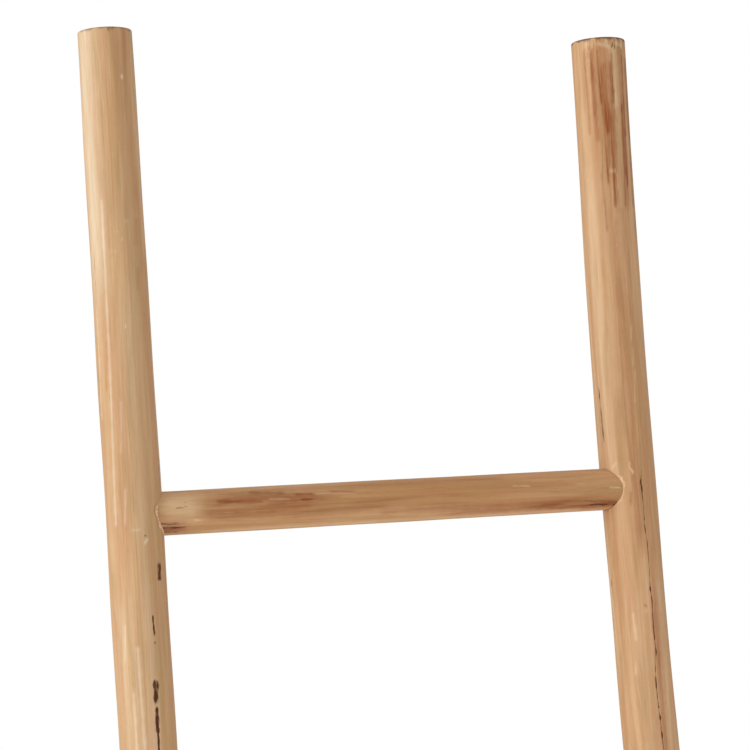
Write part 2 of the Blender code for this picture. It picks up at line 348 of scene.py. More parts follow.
railMarks = {
    "left": {"seed": 11, "frays": 5, "marks": [
        # painted highlight: a paler, less yellow band down the lit edge at the top, partly the wood's own
        # cream tone there
        ("pale", 19.0, 0.60, 0.0, [(-74, 0), (-72, 180)]),
        # painted shade: darkens the lit side lower down, where less of the lamp's light fell
        ("red", 14.0, 0.40, 0.0, [(-54, 230), (-46, 425)]),
        ("red", 10.0, 0.50, 0.0, [(25, 10), (27, 130)]), ("red", 5.0, 0.35, 0.0, [(6, 20), (5, 150)]),
        ("red", 4.0, 0.22, 0.0, [(-38, 60), (-36, 180)]), ("pale", 13.0, 0.16, 0.0, [(-3, 245), (-2, 400)]),
        ("red", 8.0, 0.50, 0.0, [(48, 200), (50, 640)]), ("pale", 11.0, 0.20, 0.0, [(-3, 470), (-4, 640)]),
        ("pale", 1.9, 0.75, 0.15, [(12, 40.5), (12, 42.5)]), ("pale", 1.4, 0.30, 0.0, [(-15, 137)]),
        ("pale", 1.8, 0.45, 0.1, [(2, 160)]), ("pale", 1.8, 0.40, 0.1, [(-19, 169)]),
        ("pale", 1.8, 0.45, 0.1, [(-10, 175)]), ("pale", 1.8, 0.40, 0.1, [(-25, 185)]),
        ("pale", 1.6, 0.50, 0.1, [(-14, 245), (-14, 247)]),
        ("pale", 9.0, 0.10, 0.0, [(10, 125), (10, 235)]),
        ("red", 5.0, 0.45, 0.0, [(27, 160), (25, 178)]), ("red", 4.5, 0.40, 0.0, [(23, 200), (21, 215)]),
        ("pale", 2.2, 0.50, 0.0, [(-47, 142), (-53, 288), (-60, 405)]),
        ("red", 2.2, 0.50, 0.0, [(-57, 255), (-65, 296)]),
        ("pale", 1.6, 0.35, 0.0, [(-32, 308), (-38, 347)]),
        ("pale", 1.6, 0.35, 0.0, [(-34, 377), (-39, 405)]),
        ("pale", 1.2, 0.45, 0.0, [(-25, 410), (-9, 410)]),  # a saw's touch across the grain
        ("pale", 1.4, 0.95, 0.2, [(-1, 421), (5, 418)]), ("dark", 1.6, 0.70, 0.2, [(1, 415)]),
        ("dark", 5.0, 0.85, 0.3, [(32, 438), (30, 449)]), ("pale", 1.6, 0.45, 0.0, [(24, 451)]),
        ("dark", 1.9, 0.95, 0.4, [(7, 480), (8, 494)]), ("dark", 2.0, 0.85, 0.2, [(8, 501)]),
        ("dark", 5.0, 1.00, 0.5, [(4, 533), (2, 546)]),  # an old nail's stain, with a check below it
        ("dark", 3.4, 1.00, 0.5, [(4, 553), (2, 570)]),
        ("dark", 2.2, 1.00, 0.4, [(3, 570), (2, 590), (3, 615), (1, 650)]),
        ("pale", 1.6, 0.40, 0.0, [(-53, 487), (-58, 514)]),
        ("pale", 2.8, 0.50, 0.0, [(-28, 505), (-26, 600)]),
        ("pale", 2.4, 0.45, 0.0, [(-43, 540), (-42, 600)]),
        ("pale", 6.0, 0.20, 0.0, [(-60, 480), (-58, 640)]),
        ("pale", 4.2, 0.15, 0.0, [(-37, 470), (-34, 640)]),
        ("dark", 1.2, 0.55, 0.0, [(57, 350), (53, 384)]),
        ("dark", 1.2, 0.75, 0.4, [(-120, 930), (-118, 975), (-121, 1010)]),
        ("dark", 3.0, 0.70, 0.3, [(150, 700), (150, 709)]),
        ("dark", 1.1, 0.7, 0.4, [(95, 1180), (97, 1260)]),
    ]},
    "right": {"seed": 23, "frays": 26, "marks": [
        ("pale", 3.6, 0.45, 0.0, [(-28, 6), (-5, 9)]), ("pale", 2.4, 0.40, 0.0, [(10, 5), (30, 7)]),
        ("pale", 1.6, 0.40, 0.0, [(-5, 8), (-4, 20)]),
        ("dark", 1.6, 0.60, 0.1, [(-37, 7)]), ("dark", 1.6, 0.55, 0.1, [(18, 9)]),
        ("dark", 1.0, 0.45, 0.1, [(-52, 12), (-54, 23)]),
        ("red", 9.0, 0.45, 0.0, [(-22, 14), (-18, 112)]), ("red", 4.0, 0.70, 0.0, [(-21, 25), (-19, 84)]),
        ("red", 2.6, 0.60, 0.0, [(-20, 40), (-19, 76)]), ("red", 4.5, 0.60, 0.0, [(-5, 34), (-8, 140)]),
        ("red", 1.8, 0.80, 0.0, [(30, 16), (27, 88)]), ("red", 1.6, 0.75, 0.0, [(-47, 14), (-45, 70)]),
        ("red", 1.6, 0.80, 0.0, [(26, 40), (23, 132)]), ("red", 1.6, 0.75, 0.0, [(-27, 50), (-25, 128)]),
        ("red", 1.4, 0.70, 0.0, [(16, 90), (13, 150)]), ("pale", 4.0, 0.15, 0.0, [(4, 50), (2, 150)]),
        ("red", 4.0, 0.62, 0.0, [(-44, 10), (-42, 90)]), ("red", 5.5, 0.55, 0.0, [(22, 12), (20, 140)]),
        ("red", 2.2, 0.60, 0.0, [(-60, 10), (-58, 84)]), ("red", 2.0, 0.60, 0.0, [(50, 14), (47, 90)]),
        ("red", 3.5, 0.55, 0.0, [(44, 20), (40, 150)]), ("pale", 4.0, 0.45, 0.0, [(6, 12), (5, 60)]),
        ("dark", 1.1, 0.45, 0.1, [(1, 46), (-1, 74)]), ("dark", 1.0, 0.40, 0.1, [(5, 70), (-1, 100)]),
        ("dark", 1.2, 0.35, 0.0, [(-17, 101), (-20, 118)]),
        ("dark", 1.4, 0.40, 0.0, [(-31, 90), (-36, 123)]),
        ("pale", 1.1, 0.50, 0.1, [(-20, 119), (-9, 118), (-4, 122), (-4, 137)]),
        ("dark", 1.4, 0.35, 0.0, [(-13, 151)]), ("pale", 1.4, 0.35, 0.0, [(-16, 184)]),
        ("pale", 1.4, 0.35, 0.0, [(-23, 217)]),
        ("pale", 8.0, 0.20, 0.0, [(-38, 135), (-36, 300)]),
        ("pale", 12.0, 0.35, 0.0, [(-68, 150), (-66, 380)]),
        ("pale", 8.0, 0.25, 0.0, [(-28, 500), (-26, 640)]),
        ("red", 2.6, 0.70, 0.0, [(-23, 30), (-15, 66), (-11, 96)]),
        ("red", 9.0, 0.42, 0.0, [(-19, 165), (-14, 430)]), ("red", 5.0, 0.45, 0.0, [(50, 30), (46, 170)]),
        ("red", 6.0, 0.55, 0.0, [(4, 500), (1, 660)]), ("red", 2.4, 0.80, 0.0, [(-10, 98), (-13, 150)]),
        ("red", 2.0, 0.70, 0.0, [(-32, 12), (-29, 60)]), ("red", 2.4, 0.80, 0.0, [(-2, 16), (-3, 58)]),
        ("red", 2.2, 0.75, 0.0, [(19, 60), (17, 122)]), ("red", 2.0, 0.65, 0.0, [(-37, 120), (-34, 170)]),
        ("pale", 1.3, 0.45, 0.0, [(5, 254), (2, 268)]), ("pale", 1.3, 0.45, 0.0, [(5, 276), (2, 290)]),
        ("pale", 1.3, 0.45, 0.0, [(5, 295), (0, 322)]),
        ("pale", 1.3, 0.65, 0.1, [(-23, 374), (-24, 378), (-17, 382)]),
        ("red", 2.0, 0.60, 0.0, [(-25, 399), (-27, 409)]),
        # the long drying check that opens from the joint downwards
        ("dark", 1.0, 0.60, 0.4, [(4, 381), (-2, 391)]), ("dark", 1.5, 0.90, 0.6, [(-1, 391), (0, 403)]),
        ("dark", 0.9, 0.75, 0.5, [(0, 403), (1, 412), (-1, 429), (2, 442), (1, 465), (-1, 483)]),
        ("dark", 1.0, 0.85, 0.5, [(-1, 483), (1, 493), (-1, 509), (-1, 525), (0, 538)]),
        ("dark", 2.6, 0.70, 0.3, [(-1, 483)]), ("dark", 1.0, 0.62, 0.4, [(0, 538), (-6, 556), (-6, 576)]),
        ("dark", 2.4, 0.50, 0.3, [(-6, 560), (-6, 567)]), ("dark", 2.2, 0.50, 0.3, [(-4, 585)]),
        ("dark", 2.8, 0.48, 0.3, [(-4, 594)]), ("dark", 2.6, 0.48, 0.3, [(-3, 608), (-3, 611)]),
        ("dark", 1.0, 0.62, 0.4, [(-6, 576), (-4, 594), (-3, 621), (-4, 652), (-2, 690)]),
        ("dark", 3.6, 0.45, 0.2, [(-17, 497), (-13, 498)]), ("pale", 4.0, 0.35, 0.0, [(-15, 502)]),
        ("dark", 1.5, 0.80, 0.2, [(-93, 473), (-93, 479)]),
        ("pale", 2.4, 0.50, 0.0, [(-42, 504), (-40, 526)]),
        ("pale", 2.2, 0.45, 0.0, [(-45, 546), (-47, 556)]),
        ("pale", 1.8, 0.50, 0.0, [(-59, 377), (-51, 373)]),
        ("pale", 6.0, 0.22, 0.0, [(19, 490), (17, 660)]),
        ("dark", 1.3, 0.75, 0.5, [(140, 240), (143, 300), (141, 345)]),
        ("dark", 1.2, 0.70, 0.4, [(-100, 1050), (-102, 1130)]),
        ("dark", 3.0, 0.70, 0.3, [(-150, 820), (-150, 830)]),
    ]},
}


def allRailMarks(side):
    look = railMarks[side]
    seed = look["seed"]
    below = strayMarks(seed, 26, (620, 1700))
    behind = strayMarks(seed + 5, 8, (20, 560), (70, 290))
    frays = strayMarks(seed + 9, look["frays"], (0, 3), (-75, 60), (3, 11), (0.9, 1.6))
    return look["marks"] + below + behind + frays


def railRelief(side):
    seed, shape = railMarks[side]["seed"], rails[side]
    marks = allRailMarks(side)

    def relief(turns, runs):
        drops = (shape["length"] - runs) / mm
        return (swell(seed, turns, runs, (1, 3), (0.2, 1.2), railLooks["outOfRound"])
                + swell(seed + 1, turns, runs, (2, 6), (2.0, 6.0), railLooks["lumps"])
                + swell(seed + 2, turns, runs, (18, 60), (0.3, 2.5), railLooks["fibres"], 26)
                - markField(marks, np.degrees(turns), drops, shape["radius"](runs), value="depth"))

    return relief


def makeRail(side):
    shape = rails[side]
    length, radius = shape["length"], shape["radius"]
    step = railLooks["columnStep"] / radius(0)
    wide = railLooks["coarse"] * step
    front, back = np.radians(railLooks["fineTurns"])
    columns = np.unique(np.concatenate([spread(-math.pi, front, wide), spread(front, back, step),
                                        spread(back, math.pi, wide)]))[:-1]
    first, last = easedEnds(length, radius, railLooks["rimEase"])
    split = length - railLooks["topStretch"]
    short = [length - path[0][1] * mm for kind, width, share, depth, path in railMarks[side]["marks"]
             if len(path) == 1 or abs(path[-1][1] - path[0][1]) < railLooks["shortMark"]]
    runs = np.concatenate([[2 * mm], spread(4 * mm, split, railLooks["rowStep"][1])[:-1],
                           spread(split, length - 3.5 * mm, railLooks["rowStep"][0], short, 3),
                           length - np.array(railLooks["rowsAtRim"]) * mm])
    rows = first + [(run, radius(run), 1.0) for run in runs] + last
    name = side + "_teak_rail"
    mesh = roundMesh(name, rows, columns, shape["shift"], railRelief(side), math.tan(lean))
    return addPiece(name, mesh, shape["place"])


def stainRail(side, piece):
    shape = rails[side]
    length = shape["length"]

    def sawn(x, y, z, reach):
        # the sawn end faces, darker, and a darker rim round them
        fromEnd = np.minimum(length - z, z - y * math.tan(lean))
        turns = np.arctan2(x, -y)
        dashes = 0.6 + 0.4 * np.cos(11 * turns + 1) * np.cos(4 * turns)  # the darker rim reaches down unevenly
        depth = railLooks["rimDepth"][side] * dashes
        rim = np.clip(1.3 - fromEnd / depth, 0, 1) * railLooks["rimDarkening"][side]
        face = (fromEnd < 0.1 * mm) & (np.hypot(x, y) < reach - 1.1 * railLooks["rimEase"])
        return np.where(face, railLooks["faceDarkening"], rim)

    stainMesh(piece, allRailMarks(side), shape["radius"], lambda z: (length - z) / mm, shape["shift"], sawn)


# ---- rungs

rungLooks = {
    "columnStep": 0.85 * mm,
    "rowStep": 2.0 * mm,
    "outOfRound": 0.12 * mm,
    "lumps": 0.10 * mm,
    "fibres": 0.03 * mm,
    "shoulderEase": 0.4 * mm,
    "chamfer": 1.5 * mm,
    "seed": 41,
    "strays": 16,
    "fitGap": 0.3 * mm,  # the CAD's clearance in its sockets
}

topRungMarks = [
    ("pale", 24.0, 0.85, 0.0, [(-16, 36), (-12, 48)]),  # the pale halo of a knot
    ("dark", 1.6, 0.60, 0.2, [(-22, 47)]),
    ("dark", 1.0, 0.65, 0.2, [(-8, 38), (-11, 41), (-10, 44), (-12, 47)]),
    ("pale", 1.5, 0.75, 0.1, [(25, 54), (26, 60)]),
    ("red", 12.0, 0.95, 0.0, [(40, 16), (44, 42)]), ("dark", 3.0, 0.50, 0.1, [(29, 20), (32, 40)]),
    ("dark", 2.8, 0.55, 0.1, [(43, 20), (46, 46)]), ("dark", 3.0, 0.55, 0.1, [(60, 20), (63, 40)]),
    ("pale", 1.0, 0.50, 0.0, [(37, 24), (39, 46)]), ("pale", 6.0, 0.45, 0.0, [(68, 70), (66, 400)]),
    ("red", 6.0, 0.45, 0.0, [(20, 78), (16, 210)]), ("red", 5.0, 0.25, 0.0, [(0, 200), (-4, 290)]),
    ("red", 8.0, 0.45, 0.0, [(-34, 88), (-26, 150)]), ("red", 7.0, 0.45, 0.0, [(-14, 80), (-12, 165)]),
    ("red", 5.0, 0.30, 0.0, [(-54, 70), (-50, 330)]),
    ("red", 5.0, 0.45, 0.0, [(30, 230), (34, 400)]), ("red", 5.0, 0.45, 0.0, [(2, 62), (0, 150)]),
    ("red", 2.6, 0.75, 0.0, [(-20, 76), (-15, 112)]), ("red", 2.8, 0.55, 0.0, [(-43, 105), (-38, 133)]),
    ("red", 2.4, 0.60, 0.0, [(-30, 144), (-28, 160)]), ("red", 1.8, 0.55, 0.0, [(-15, 149), (-14, 158)]),
    ("red", 2.4, 0.60, 0.0, [(-34, 176), (-31, 196)]), ("pale", 1.4, 0.40, 0.0, [(-21, 120), (-18, 137)]),
    ("pale", 1.4, 0.40, 0.0, [(-30, 161), (-24, 197)]), ("dark", 3.2, 0.25, 0.0, [(9, 88), (13, 115)]),
    ("dark", 1.6, 0.60, 0.1, [(-25, 301)]), ("pale", 1.2, 0.60, 0.0, [(-22, 344), (-19, 359)]),
    ("dark", 1.3, 0.40, 0.1, [(32, 263)]), ("dark", 1.3, 0.40, 0.1, [(29, 331)]),
    ("pale", 1.1, 0.95, 0.0, [(-3, 437), (-1, 446)]), ("pale", 2.0, 0.30, 0.0, [(-18, 404), (-16, 412)]),
    ("red", 10.0, 0.95, 0.0, [(40, 392), (46, 447)]), ("dark", 3.0, 0.45, 0.1, [(33, 412), (38, 444)]),
    ("dark", 3.2, 0.60, 0.1, [(47, 416), (52, 446)]), ("red", 9.0, 0.45, 0.0, [(50, 300), (50, 400)]),
]


def marksOnRung(index):
    turns = (-180, 180) if index else (70, 290)  # the top rung's front has marks of its own
    stray = strayMarks(rungLooks["seed"] + index, rungLooks["strays"], (30, 400), turns, (20, 60))
    return stray + (topRungMarks if index == 0 else [])


def rungRows(shape, grow=0.0):
    left, right = shape["shoulders"]
    tenon, body, length = shape["tenon"] + grow, shape["radius"] + grow, shape["length"]
    ease, chamfer = rungLooks["shoulderEase"], rungLooks["chamfer"]
    rows = [(-grow, share * (tenon - chamfer), 0.0) for share in (0.05, 0.5, 1.0)]
    rows += [(chamfer - grow, tenon, 0.0), (left - grow, tenon, 0.0), (left - grow, body - ease, 0.0)]
    runs = np.arange(left - grow + ease, right + grow - ease, rungLooks["rowStep"])
    rows += [(run, body, 1.0) for run in runs] + [(right + grow - ease, body, 1.0)]
    rows += [(right + grow, body - ease, 0.0), (right + grow, tenon, 0.0)]
    rows += [(length - chamfer + grow, tenon, 0.0)]
    return rows + [(length + grow, share * (tenon - chamfer), 0.0) for share in (1.0, 0.5, 0.05)]


def makeRung(index):
    shape = rungs[index]
    seed = rungLooks["seed"] + 10 * index
    marks = marksOnRung(index)

    def relief(turns, runs):
        return (swell(seed, turns, runs, (1, 3), (0.5, 2.0), rungLooks["outOfRound"])
                + swell(seed + 1, turns, runs, (2, 6), (3.0, 9.0), rungLooks["lumps"])
                + swell(seed + 2, turns, runs, (14, 50), (0.5, 3.5), rungLooks["fibres"], 26)
                - markField(marks, np.degrees(turns), runs / mm, shape["radius"], value="depth"))

    columns = spread(-math.pi, math.pi, rungLooks["columnStep"] / shape["radius"])[:-1]
    mesh = roundMesh(f"teak_rung_{index + 1}", rungRows(shape), columns, None, relief)
    return addPiece(f"teak_rung_{index + 1}", mesh, shape["place"])


def stainRung(index, piece):
    shape = rungs[index]
    strength, fade = fillerLooks["creaseShade"]

    # painted shade: darkens the rung next to each rail, where the rail's shade falls in the crease
    def creaseShade(turns, y, z):
        behind = y.clip(-shape["radius"], shape["radius"])
        left, right = (seamAt(side, index, behind)[0] for side in rails)
        near = np.minimum(np.abs(z - left), np.abs(right - z))
        uneven = 0.6 + 0.4 * np.cos(np.radians(3 * turns) + index) * np.cos(np.radians(7 * turns))
        return strength * uneven * np.exp(-near / fade)

    stainMesh(piece, marksOnRung(index), shape["radius"], lambda z: z / mm, creaseShade=creaseShade)


def makeSocket(index):
    columns = np.linspace(-math.pi, math.pi, 121)[:-1]
    mesh = roundMesh("socket", rungRows(rungs[index], rungLooks["fitGap"]), columns)
    return addPiece(f"socket_{index + 1}", mesh, rungs[index]["place"])


# ---- filler in the joints: wood dust and glue, pressed round each rung and wiped

fillerLooks = {
    "under": 0.5 * mm,
    "seeds": {"left": 70, "right": 80},
    # the smear's width and height in mm, where it is thin and what it gains where it is thick, and the turns
    # round the rung where it is thick: their middle and half their reach
    "left": {"thin": (0.3, 0.03), "thick": (3.4, 0.70), "turns": (26, 44), "fill": 1.0},
    "right": {"thin": (0.5, 0.05), "thick": (2.6, 0.35), "turns": (-4, 74), "fill": 0.60},
    "facets": 240,
    "turnOn": 1.9,  # each joint's smear is turned this much further, in radians
    "creaseShade": (0.45, 1.6 * mm),  # painted shade on the rung beside it, where it meets the rail: strength, reach
}


def seamAt(side, index, y):
    # where a rung's skin meets its rail, so far behind the rung's middle line: the distance along the rung,
    # and the part of it that runs out from the rail's own middle
    shape, rail = rungs[index], rails[side]
    middle = shape["place"] @ Vector((0, 0, shape["length"] / 2))
    up = (middle - rail["place"].translation).dot(rail["place"].to_3x3().col[2])
    centre = rail["place"] @ Vector((float(rail["shift"](up)), 0, up))
    centreRun = (centre - shape["place"].translation).dot(shape["place"].to_3x3().col[2])
    reach = np.sqrt(float(rail["radius"](up)) ** 2 - y ** 2) * (1 if side == "left" else -1)
    return centreRun + reach, reach


def makeFiller(side, index):
    shape, look = rungs[index], fillerLooks[side]
    seam = shape["radius"] + rungLooks["fitGap"]
    turns = np.linspace(-math.pi, math.pi, fillerLooks["facets"] + 1)[:-1]
    out = np.stack([np.sin(turns), -np.cos(turns), 0 * turns], -1)  # away from the rung's middle
    y = -seam * np.cos(turns)
    points = seam * out
    points[:, 2], reach = seamAt(side, index, y)
    normal = np.stack([0 * turns, y, reach], -1)
    normal /= np.linalg.norm(normal, axis=1)[:, None]
    along = np.roll(points, -1, 0) - np.roll(points, 1, 0)
    away = np.cross(normal, along)
    away /= np.linalg.norm(away, axis=1)[:, None]
    away *= np.sign((away * out).sum(1))[:, None]
    middle, half = (math.radians(angle) for angle in look["turns"])
    fromMiddle = (turns - middle - fillerLooks["turnOn"] * index + math.pi) % (2 * math.pi) - math.pi
    lumps = swell(fillerLooks["seeds"][side] + index, turns, 0 * turns, (3, 17), (0, 0), 0.45, 16)
    thick = np.clip((look["fill"] + lumps) * np.exp(-np.abs(fromMiddle / half) ** 3), 0, 1)[:, None]
    width, rise = ((thin + thick * gain) * mm for thin, gain in zip(look["thin"], look["thick"]))
    under = fillerLooks["under"]
    # from under the rail's skin up the rung's side, over the crest, out to a thin edge and back under
    profile = [points - under * normal - 0.2 * mm * out,
               points + 0.7 * rise * normal - 0.25 * mm * out,
               points + 0.25 * width * away + rise * normal,
               points + 0.7 * width * away + 0.6 * rise * normal,
               points + width * away - 0.05 * mm * normal,
               points + 0.6 * width * away - under * normal]
    count, rings = len(turns), len(profile)
    faces = []
    for ring in range(rings):
        low, high = ring * count, (ring + 1) % rings * count
        for i in range(count):
            j = (i + 1) % count
            face = (low + i, low + j, high + j, high + i)
            faces.append(face if side == "left" else face[::-1])
    name = f"{side}_joint_filler_{index + 1}"
    piece = addPiece(name, newMesh(name, np.vstack(profile).tolist(), faces), shape["place"])
    toWorld(piece)
    return piece


# ---- screws

screwLooks = {
    "pitch": 1.8 * mm,
    "threadDepth": 0.45 * mm,
    "flank": 5,  # how steep the thread is: its ridge takes two of these shares of the pitch
    "headRim": 0.4 * mm,
    "pointRun": 6.0 * mm,
    "pointRadius": 0.3 * mm,
    "edge": 0.1 * mm,  # eased rim of the head, and the flat of the point
    "shankRun": 12.0 * mm,
    "core": 1.55 * mm,
    "shank": 2.05 * mm,
    "facets": 32,
    "rowStep": 0.3 * mm,
    "holeGap": 0.3 * mm,
    "recess": (4.6 * mm, 0.9 * mm, 1.7 * mm),  # across, slot, depth
    "recessTaper": 0.5,
}


def screwShape(node):
    points = nodePoints(node)
    along = np.array(backWay)
    runs = points @ along
    middle = np.array(boxMiddle(node))
    start = Vector(middle + (runs.min() - middle @ along) * along)
    across = Vector((1, 0, 0))
    turned = Matrix((across, backWay.cross(across), backWay)).transposed()
    place = Matrix.Translation(start) @ turned.to_4x4()
    local = inPlace(points, place)
    return {"place": place, "length": np.ptp(runs), "head": np.hypot(local[:, 0], local[:, 1]).max()}


def screwRows(shape, grow=0.0, rise=0.0):
    look = screwLooks
    length, head, edge = shape["length"], shape["head"] + grow, look["edge"]
    core, shank, point = look["core"] + grow, look["shank"] + grow, look["pointRadius"] + grow
    cone = length - look["headRim"] - (shape["head"] - look["shank"])
    step = cone - look["shankRun"]
    threads = np.arange(look["pointRun"], step - 0.5 * mm, look["rowStep"])
    rows = [(-grow, edge, 0.0), (-grow, point, 0.0)]
    rows += [(look["pointRun"] * t, point + (core - point) * t, t) for t in (0.25, 0.5, 0.75)]
    rows += [(run, core, 1.0) for run in threads]
    rows += [(step, core, 0.0), (step, shank, 0.0), (cone - grow, shank, 0.0)]
    rows += [(length - look["headRim"] - grow, head, 0.0), (length - edge + rise, head, 0.0)]
    return rows + [(length + rise, head - edge, 0.0), (length + rise, 0.5 * head, 0.0)]


def makeScrew(node):
    shape = screwShape(node)
    look = screwLooks

    def thread(turns, runs):
        phase = (runs / look["pitch"] - turns / (2 * math.pi)) % 1
        return look["threadDepth"] * np.clip(1 - np.abs(phase - 0.5) * look["flank"], 0, 1)

    columns = np.linspace(-math.pi, math.pi, look["facets"] + 1)[:-1]
    name = "zinc_" + node
    piece = addPiece(name, roundMesh(name, screwRows(shape), columns, None, thread), shape["place"])
    span, slot, depth = look["recess"]
    arm, half = span / 2, slot / 2
    corners = [(arm, -half), (arm, half), (half, half), (half, arm), (-half, arm), (-half, half),
               (-arm, half), (-arm, -half), (-half, -half), (-half, -arm), (half, -arm), (half, -half)]
    top = shape["length"]
    points = [(look["recessTaper"] * x, look["recessTaper"] * y, top - depth) for x, y in corners]
    points += [(x, y, top + 0.2 * mm) for x, y in corners]
    count = len(corners)
    faces = [(i, (i + 1) % count, count + (i + 1) % count, count + i) for i in range(count)]
    faces += [tuple(range(count))[::-1], tuple(range(count, 2 * count))]
    recess = addPiece("recess", newMesh("recess", points, faces), shape["place"])
    carve(piece, [recess])
    bpy.data.objects.remove(recess, do_unlink=True)
    hole = roundMesh("screw_hole", screwRows(shape, look["holeGap"], 4 * mm), columns)
    toWorld(piece)
    return piece, addPiece("screw_hole", hole, shape["place"])


# ---- materials

def linear(hexColour):
    # an sRGB hex colour as the linear colour that shaders take
    parts = [int(hexColour[i:i + 2], 16) / 255 for i in (1, 3, 5)]
    return [c / 12.92 if c <= 0.04045 else ((c + 0.055) / 1.055) ** 2.4 for c in parts] + [1.0]


def addNode(tree, kind, settings=None, links=None):
    node = tree.nodes.new("ShaderNode" + kind)
    for name, value in (settings or {}).items():
        if isinstance(name, int) or name in node.inputs:
            node.inputs[name].default_value = value
        else:
            setattr(node, name, value)
    for name, source in (links or {}).items():
        tree.links.new(source, node.inputs[name])
    return node


teakGrain = {
    "ringStep": 6.5,  # mm from one growth ring to the next
    "waveStep": 0.314,  # from one ring of the wave pattern to the next, at its own scale
    "ringStretch": 0.02,  # the rings' scale along the pole, as a share of that across it
    "drift": (30, 200),  # mm across and along, over which the grain wanders
    "wander": 0.006,  # metres that it wanders either way
}

teakPatterns = {
    # mm across the grain, mm along it, detail, the part of the noise that shows, a place of its own in it
    "bands": (11.0, 240, 2.0, (0.32, 0.68), 3.0),
    "patches": (5.5, 85, 2.0, (0.44, 0.72), 37.0),
    "flushes": (4.2, 120, 2.0, (0.48, 0.74), 43.0),
    "streaks": (1.7, 70, 2.0, (0.56, 0.78), 7.0),
    "paleStreaks": (1.7, 70, 2.0, (0.56, 0.80), 13.0),
    "fibres": (0.9, 26, 2.0, (0.35, 0.70), 19.0),  # real ones are 0.2 mm, drawn coarser so that they show
    "pores": (0.7, 7, 1.0, (0.62, 0.74), 29.0),  # real ones are 0.3 mm, drawn coarser too
    "blotches": (3.2, 45, 2.0, (0.30, 0.70), 53.0),
    "wear": (1.4, 8, 3.0, (0.35, 0.62), 71.0),
}

teakLayers = (  # tint, pattern and share, from the lowest layer up
    ("olive", "patches", "oliveShare"), ("flush", "flushes", "flushShare"), ("ring", "rings", "ringShare"),
    ("streak", "streaks", "streakShare"), ("pale", "paleStreaks", "paleShare"),
    ("ring", "fibres", "fibreShare"), ("pore", "pores", "poreShare"),
)

teakMarks = (  # mark, the pattern that breaks it up so that it has no drawn edge, and how far
    ("redMark", "blotches", 0.55, 1.15), ("paleMark", "blotches", 0.70, 1.10),
    ("sawn", "wear", 0.80, 1.10), ("darkMark", "wear", 0.62, 1.25),
)


